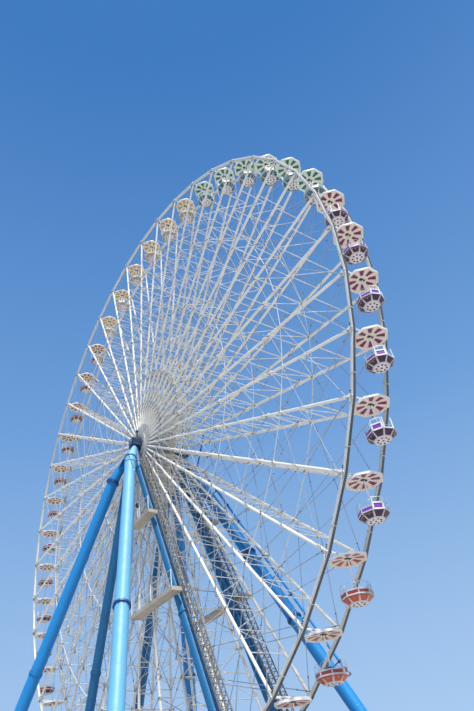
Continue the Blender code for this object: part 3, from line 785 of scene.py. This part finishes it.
def cabins():
    """A canopy and a tub on each axle. The tubs are turned about their posts as they happened to stop."""
    masters = {group: (canopy_mesh(group), tub_mesh(group)) for group in GROUPS}
    size = CABINS // len(GROUPS)
    for k, axle in enumerate(NODES):
        group = GROUPS[(k + FIRST_GROUP_LEAD) % CABINS // size]
        label = f"cabin_{k + 1:02d}"
        canopy, tub = masters[group]
        place = Matrix.Translation(axle)
        turn = Matrix.Rotation(radians(GATE_FACES.get(k + 1, GATE_DRIFT * k % 360)), 4, "Z")
        top = place_mesh(f"{label}_canopy", canopy.data, label, place)
        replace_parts(top, f"gondola_{k + 1:02d}")
        place_mesh(f"{label}_tub", tub.data, label, place @ turn)
    for pair in masters.values():
        for master in pair:
            bpy.data.objects.remove(master, do_unlink=True)


# Towers

def leg_ends(side, hand, ends):
    """Foot and top of a leg. side is -1 at the front, and hand is -1 on the left."""
    return [Vector((hand * x, side * y, z)) for (x, y), z in zip(ends, (FOOT_Z, LEG_TOP_Z))]


def leg(name, side, hand, ends, radius, paint, cone_paint, taper_z):
    """Rolled tube with weld seams, bolted collars and a shoe. Its top tapers in to the bearing head."""
    foot, top = leg_ends(side, hand, ends)
    along = (top - foot).normalized()
    length = (taper_z - foot.z) / along.z
    shoulder = foot + along * length
    across, up = axes(along)
    form = Shape()
    rings = [[p - along * ((p.z - foot.z) / along.z) for p in circle(foot, across, up, radius, LEG_SIDES)]]
    for i in range(1, LEG_SEAMS):
        for offset, proud in SEAM:
            middle = foot + along * (i * length / LEG_SEAMS + offset)
            rings.append(circle(middle, across, up, radius + proud, LEG_SIDES))
    rings.append(circle(shoulder, across, up, radius, LEG_SIDES))
    form.skin(rings, paint)
    tip = Vector((copysign(TIP / 2, top.x), copysign(HEAD_Y, top.y), CROWN_TOP_Z))
    tip.y += copysign(TIP / 3, top.y) * (1 if radius > MAIN_LEG else -1)
    cone = (shoulder, radius - 0.002), (tip, TIP)
    form.skin([circle(place, across, up, size, LEG_SIDES) for place, size in cone], cone_paint)
    form.stud(shoulder - along * 0.035, along * 0.07, radius + 0.022, DEEP_BLUE_AND_SHADE, LEG_SIDES)
    dark = DARK_COLLARS.get(name, ())
    for share in COLLAR_PLACES:
        if share not in dark:
            collar(form, foot.lerp(top, share), along, radius, paint, COLLAR_PROUD)
    for share in dark:
        collar(form, foot.lerp(top, share), along, radius, DEEP_BLUE_AND_SHADE, DARK_COLLAR_PROUD)
    form.stud(foot + along * 0.16, along * 0.03, radius + 0.03, AZURE, LEG_SIDES)
    if name.endswith("right_outrigger"):
        drop_cable(form, shoulder, along, radius, top)
    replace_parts(form.make(f"{name}_tube", "towers", "tower_blue"), name)


def drop_cable(form, shoulder, along, radius, top):
    """Cable that leaves the crown, sweeps round the outside of the leg and runs down its inner side."""
    first, last, start, sweep, run, steps = radians(-46), radians(50), 0.06, 1.6, 4.2, 14
    outward = X * copysign(1, top.x)
    outward = (outward - along * outward.dot(along)).normalized()
    inward = along.cross(outward)
    inward *= -copysign(1, inward.y * top.y)
    points = []
    for i in range(steps + 1):
        angle = first + (last - first) * i / steps
        round_leg = outward * cos(angle) + inward * sin(angle)
        points.append(shoulder - along * (start + sweep * i / steps) + round_leg * (radius + 0.014))
    points.append(points[-1] - along * run)
    form.path(points, 0.016, DEEP_BLUE_AND_SHADE)


def collar(form, middle, along, radius, look, proud):
    """Two bolted flanges with a ring of bolts and triangular stiffeners."""
    edge, thick, stiffener, bolts, webs = radius + proud, 0.028, 0.10, 20, 10
    for way in (-along, along):
        start = middle + way * 0.001
        face = start + way * thick
        form.stud(start, way * thick, edge, look, 32)
        form.bolts(face, way, radius + proud * 0.6, bolts, 0.010, NAVY)
        for out in circle(Vector(), *axes(along), 1, webs, 0):
            inner, outer = face + out * (radius - 0.004), face + out * (edge - 0.004)
            form.plate([inner, outer, inner + way * stiffener], along.cross(out) * 0.010, look)


def service_pipe(word, hand):
    """Thin pipe on stand-offs along the upper side of a rear outrigger, with a slanting mast at its top."""
    low, high, brackets, pipe, bracket = 0.30, 0.95, 11, 0.042, 0.03
    foot, top = leg_ends(1, hand, OUTRIGGER_ENDS)
    along = (top - foot).normalized()
    lift = (Z - along * Z.dot(along)).normalized()
    offset = lift * (OUTRIGGER + 0.18)
    start, end = foot.lerp(top, low), foot.lerp(top, high)
    form = Shape()
    form.tube(start + offset, end + offset, pipe, AZURE, 12)
    for i in range(brackets):
        place = start.lerp(end, (i + 0.5) / brackets)
        form.bar(place + lift * (OUTRIGGER - 0.01), place + offset, bracket, bracket, NAVY, along)
        form.stud(place + offset - along * 0.035, along * 0.07, pipe + 0.012, NAVY, 12)
    form.turned(((0.07, 0), (0.07, 0.06), (0.04, 0.12)), start + offset - along * 0.06, along, NAVY, 12)
    mast_foot, mast_top = foot.lerp(top, COLLAR_PLACES[-1]), Vector((hand * 1.15, 1.90, 14.90))
    form.tube(mast_foot, mast_top, 0.028, DEEP_BLUE_AND_SHADE, 10)
    for share in (0.62, 0.80, 0.97):
        form.ball(mast_foot.lerp(mast_top, share), 0.05, NAVY, 8)
    form.make(f"rear_{word}_service_pipe", "towers", "tower_blue")


def head(word, side):
    """Covers, caps, bolts and mast on a bearing head."""
    form = Shape()
    out = Y * side
    middle = HUB + out * HEAD_Y
    outer = middle + out * (HEAD_DEPTH / 2)
    form.ring(0.165, JOURNAL, 0, 0.02, outer, out, NAVY, 28)
    form.bolts(outer + out * 0.02, out, 0.145, 12, 0.010, ZINC)
    bolt_y, bolt_z, cover = HEAD_DEPTH / 2 - 0.05, HEAD_HEIGHT / 2 - 0.05, 0.008
    reach = Y * (bolt_y + 0.03)
    for way in (-X, X):
        plate = middle + way * (HEAD_WIDTH / 2 + cover)
        form.bar(plate - reach, plate + reach, 2 * cover, 2 * bolt_z + 0.06, NAVY)
        for y in (-bolt_y, 0, bolt_y):
            for z in (-bolt_z, bolt_z):
                form.stud(plate + way * cover + Y * y + Z * z, way * 0.012, 0.012, ZINC)
    lid, half = middle + Z * (HEAD_HEIGHT / 2 + 0.012), X * (HEAD_WIDTH / 2 - 0.03)
    form.bar(lid - half, lid + half, HEAD_DEPTH - 0.05, 0.024, NAVY)
    mast_foot, mast = lid - out * 0.13, Z * 0.40
    form.stud(mast_foot, mast, 0.032, NAVY, 10)
    form.turned(((0.04, 0), (0.062, 0.03), (0.062, 0.08), (0.03, 0.10)), mast_foot + mast, Z, NAVY, 10)
    if side > 0:
        slip_ring_box(form, outer)
    form.make(f"{word}_head_fittings", "towers", "bearing_navy")


def slip_ring_box(form, face):
    """Ribbed housing on the end of the rear head, on a bracket, for the wheel's wiring."""
    near, far, shelf, ribs, rib = face + Y * 0.07, face + Y * 0.62, Z * 0.17, 6, Y * 0.008
    form.bar(near, far, 0.30, 0.28, NAVY)
    form.bar(face - shelf, far - shelf, 0.20, 0.04, DEEP_BLUE_AND_SHADE)
    for i in range(ribs):
        place = near.lerp(far, (i + 0.5) / ribs)
        form.bar(place - rib, place + rib, 0.34, 0.32, DARK)


def crown_plates(word, side):
    """Cap plate under the bearing head, and webs that tie the tapered tops of the four legs together."""
    form = Shape()
    y, bottom = side * HEAD_Y, CROWN_TOP_Z - 0.03
    # The cap plate and the webs take the deep blue as painted shade
    form.box((-CROWN_HALF, y - CROWN_HALF, bottom), (CROWN_HALF, y + CROWN_HALF, CROWN_TOP_Z), DEEP_BLUE_AND_SHADE)
    tops = []
    for hand, ends in ((-1, MAIN_ENDS), (-1, OUTRIGGER_ENDS), (1, OUTRIGGER_ENDS), (1, MAIN_ENDS)):
        low, high = leg_ends(side, hand, ends)
        tops.append(low.lerp(high, (MAIN_TAPER_Z + 0.05 - low.z) / (high.z - low.z)))
    peak = Vector((0, y, bottom))
    for a, b in zip(tops, tops[1:] + tops[:1]):
        normal = (a - peak).cross(b - peak).normalized()
        form.plate([peak, a, (a + b) / 2 + Z * 0.28, b], normal * 0.02, DEEP_BLUE_AND_SHADE)
    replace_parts(form.make(f"{word}_crown_plates", "towers", "crown_blue"), f"{word}_crown")


def ladder(word, side):
    """Ladder on the right-hand main leg, with its lattice cage, and two railed landings."""
    foot, top = leg_ends(side, 1, MAIN_ENDS)
    along = (top - foot).normalized()
    length = (top - foot).length
    across = along.cross(Y).normalized()
    forward = across.cross(along)
    out = -across if across.z < 0 else across
    lift = (MAIN_LEG + 0.045) * cos(pi / 8) + LADDER_GAP
    start, end = (share * length for share in LADDER_SPAN)
    form = Shape()
    bar, holds, hold_pitch = 0.011, 11, 0.09

    def spot(distance, sideways, depth=0.0):
        return foot + along * distance + forward * sideways + out * (lift + depth)

    for rail in (-LADDER_HALF, LADDER_HALF):
        form.bar(spot(start, rail), spot(end, rail), 0.03, 0.045, RUNG, out)
    for rail in (-CAGE_HALF, CAGE_HALF):
        near, far = (spot(distance, rail, CAGE_DEPTH) for distance in (start + CAGE_START, end))
        form.tube(near, far, 0.018, RUNG, 6)
    for i in range(RUNGS):
        distance = start + (i + 0.5) * (end - start) / RUNGS
        form.tube(spot(distance, -LADDER_HALF), spot(distance, LADDER_HALF), bar, RUNG, 6)
    pitch = (end - start - CAGE_START) / CAGE_BAYS
    for i in range(CAGE_BAYS):
        a = start + CAGE_START + i * pitch
        form.tube(spot(a, -CAGE_HALF, CAGE_DEPTH), spot(a, CAGE_HALF, CAGE_DEPTH), bar, RUNG, 5)
        for hand in HANDS:
            peak = spot(a + pitch / 2, hand * CAGE_HALF, CAGE_DEPTH)
            form.tube(spot(a, hand * LADDER_HALF), peak, bar, RUNG, 5)
            form.tube(peak, spot(a + pitch, hand * LADDER_HALF), bar, RUNG, 5)
    for i in range(holds):
        distance = (0.05 + hold_pitch * i) * length
        for sideways in (-LADDER_HALF, LADDER_HALF):
            base = foot + along * distance + forward * sideways * 0.7 + out * (MAIN_LEG * 0.7)
            form.bar(base, spot(distance, sideways), 0.02, 0.02, RUNG, along)
    for z in LANDINGS:
        landing(form, side, z, foot, top)
    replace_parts(form.make(f"{word}_ladder_and_landings", "towers", "ladder_grey"), f"{word}_service_ladder")


def landing(form, side, z, foot, top):
    """Box deck with edge beams, a grating, end plates and a light railing."""
    half, inset, board, board_pitch, posts = LANDING_THICKNESS / 2, 0.03, 0.005, 0.055, 3
    at_leg = foot.lerp(top, (z - half - foot.z) / (top.z - foot.z))
    reach = at_leg.x + LANDING_OVERHANG
    width = reach - LANDING_X
    near = abs(at_leg.y) + MAIN_LEG * cos(pi / 8)
    low_y, high_y = sorted((side * near, side * (near + LANDING_DEPTH)))
    for y in (low_y + 0.02, high_y - 0.02):
        form.bar(Vector((LANDING_X, y, z)), Vector((reach, y, z)), 0.04, LANDING_THICKNESS, DECK)
    form.box((LANDING_X, low_y + inset, z - 0.045), (reach, high_y - inset, z - 0.03), DECK)
    for end in (LANDING_X, reach):
        form.box((end - 0.010, low_y, z - half), (end + 0.010, high_y, z + half), DECK)
    boards = int(width / board_pitch)
    for i in range(boards):
        at = LANDING_X + (i + 0.5) * width / boards
        form.box((at - board, low_y + inset, z + 0.02), (at + board, high_y - inset, z + 0.052), ZINC)
    rail = Vector((LANDING_X, side * (near + LANDING_DEPTH - 0.02), z + half))
    for i in range(posts):
        form.stud(rail + X * (inset + i * (width - 2 * inset) / (posts - 1)), Z * 0.52, 0.015, WHITE, 8)
    for height in (0.27, 0.51):
        form.stud(rail + X * inset + Z * height, X * (width - 2 * inset), 0.007, WHITE)
    if z == LANDINGS[-1]:
        lamp, tilt = rail + X * 0.6, Vector((0.6, 0, 0.8))
        housing = ((0.03, -0.09), (0.085, -0.06), (0.085, 0.06), (0.05, 0.09))
        form.stud(lamp, Z * 0.56, 0.014, WHITE, 8)
        form.turned(housing, lamp + Z * 0.52, tilt, DARK, 12)


def base_details():
    """Foot shoes, bolted splices, stiffeners and walking plates on the base frame."""
    form = Shape()
    rib, low, high, reach = 0.008, 0.07, 0.35, 0.28
    feet = ((MAIN_ENDS[0], MAIN_LEG, MAIN_BEAM), (OUTRIGGER_ENDS[0], OUTRIGGER, OUTER_BEAM))
    for side in HANDS:
        for (x, y), radius, width in feet:
            for hand in HANDS:
                foot_shoe(form, Vector((hand * x, side * y, FOOT_Z)), radius + 0.09)
            for i in range(STIFFENERS):
                at = i - STIFFENER_SPAN
                for face in HANDS:
                    edge = side * y + face * width / 2
                    near, far = sorted((edge, edge + face * 0.03))
                    form.box((at - rib, near, low), (at + rib, far, high), BASE)
            for at in (-3.0, 0.0, 3.0):
                splice(form, at, side * y, width / 2)
    for x in (-BEAM_X, BEAM_X):
        for start, end in ((-4.3, -1.35), (-0.65, 0.65), (1.35, 4.3)):
            form.box((x - reach, start, FOOT_Z - 0.004), (x + reach, end, FOOT_Z + 0.006), "walkway")
    form.make("base_details", "towers", "base_grey")


def foot_shoe(form, middle, half):
    """Square shoe plate with bolts round a leg's foot."""
    thick, inset = Z * 0.025, 0.03
    corners = Vector((half, half, 0))
    form.box(middle - corners, middle + corners + thick, AZURE)
    for hand in HANDS:
        for edge in HANDS:
            place = middle + X * hand * (half - inset) + Y * edge * (half - inset) + thick
            form.stud(place, Z * 0.03, 0.018, ZINC)


def splice(form, x, y, half):
    """Bolted joint plates round a beam."""
    gap, thick, proud, low, high = 0.003, 0.020, 0.03, 0.065, 0.385
    for hand in HANDS:
        near, far = x + hand * gap, x + hand * (gap + thick)
        form.box((min(near, far), y - half - proud, low), (max(near, far), y + half + proud, high), BASE)
        for edge in HANDS:
            for z in (0.12, 0.2, 0.28):
                form.stud(Vector((far, y + edge * (half + 0.014), z)), X * hand * 0.012, 0.011, ZINC)


# Surroundings

def stage():
    """Pale floor, a plain backdrop that fades to pale at its foot, and a clear key light from above."""
    scene = bpy.context.scene
    reach, key_energy, key_colour, key_from = 160, 5.2, (1.0, 0.96, 0.90), Vector((0.42, -0.15, 0.89))
    foot, middle = (0.10, (0.40, 0.60, 0.88, 1)), (0.55, (0.16, 0.35, 0.70, 1))
    top = (0.92, (0.055, 0.20, 0.53, 1))
    mesh = bpy.data.meshes.new("floor")
    corners = [(-reach, -reach, 0), (reach, -reach, 0), (reach, reach, 0), (-reach, reach, 0)]
    mesh.from_pydata(corners, [], [(0, 1, 2, 3)])
    mesh.materials.append(FINISHES["floor paint"])
    place_mesh("floor", mesh)
    world = bpy.data.worlds.new("studio")
    world.use_nodes = True
    tree = world.node_tree
    height = output(tree, "SeparateXYZ", {"Vector": output(tree, "TexCoord", {}, "Generated")}, "Z")
    colour = output(tree, "ValToRGB", {"Fac": height}, "Color")
    feed(tree, tree.nodes["Background"], {"Color": colour})
    ramp = colour.node.color_ramp.elements
    for element, (position, shade) in zip((ramp[0], ramp[1]), (foot, top)):
        element.position = position
        element.color = shade
    ramp.new(middle[0]).color = middle[1]
    scene.world = world
    scene.view_settings.view_transform = "Standard"
    sun = bpy.data.lights.new("key", "SUN")
    sun.energy = key_energy
    sun.angle = radians(3)
    sun.color = key_colour
    key = bpy.data.objects.new("key", sun)
    key.rotation_euler = key_from.to_track_quat("Z", "Y").to_euler()
    scene.collection.objects.link(key)


def camera():
    """The photograph's viewpoint: close to the ground, in front of the wheel and to its right."""
    position = Vector((19.316, -10.517, 0.749))
    yaw, pitch, roll = (radians(a) for a in (-50.401, 39.845, -9.514))
    focal_pixels, long_side, sensor, far = 589.8, 711, 36, 500
    forward = Vector((sin(yaw) * cos(pitch), cos(yaw) * cos(pitch), sin(pitch)))
    level = Vector((cos(yaw), -sin(yaw), 0))
    rise = level.cross(forward)
    right = level * cos(roll) + rise * sin(roll)
    up = rise * cos(roll) - level * sin(roll)
    data = bpy.data.cameras.new("camera")
    data.sensor_width = sensor
    data.lens = focal_pixels / long_side * sensor
    data.clip_end = far
    obj = bpy.data.objects.new("camera", data)
    obj.matrix_world = Matrix.Translation(position) @ Matrix((right, up, -forward)).transposed().to_4x4()
    bpy.context.scene.collection.objects.link(obj)
    bpy.context.scene.camera = obj


def main():
    camera()
    stage()
    for word, side in SIDES.items():
        for build in (rim, spokes, stays, head, crown_plates, ladder):
            build(word, side)
        repaint(f"{word}_bearing_head", NAVY)
        for hand_word, hand in (("left", -1), ("right", 1)):
            name = f"{word}_{hand_word}"
            # The front right outrigger and its cone take the paler blues as painted sunlight
            paints = ("faded azure paint", "pale blue paint") if name == "front_right" else (AZURE, AZURE)
            # Main legs take the darker azure body and a deep blue cone, both painted shade
            leg(f"{name}_main_leg", side, hand, MAIN_ENDS, MAIN_LEG, SHADED_AZURE, DEEP_BLUE_AND_SHADE, MAIN_TAPER_Z)
            leg(f"{name}_outrigger", side, hand, OUTRIGGER_ENDS, OUTRIGGER, *paints, TAPERS[hand_word])
    spoke_webs()
    hub_flanges()
    drum_ribs()
    cabins()
    service_pipe("left", -1)
    service_pipe("right", 1)
    base_details()
    repaint("hub_shaft", "shaft steel")
    repaint("base_frame", BASE)


main()
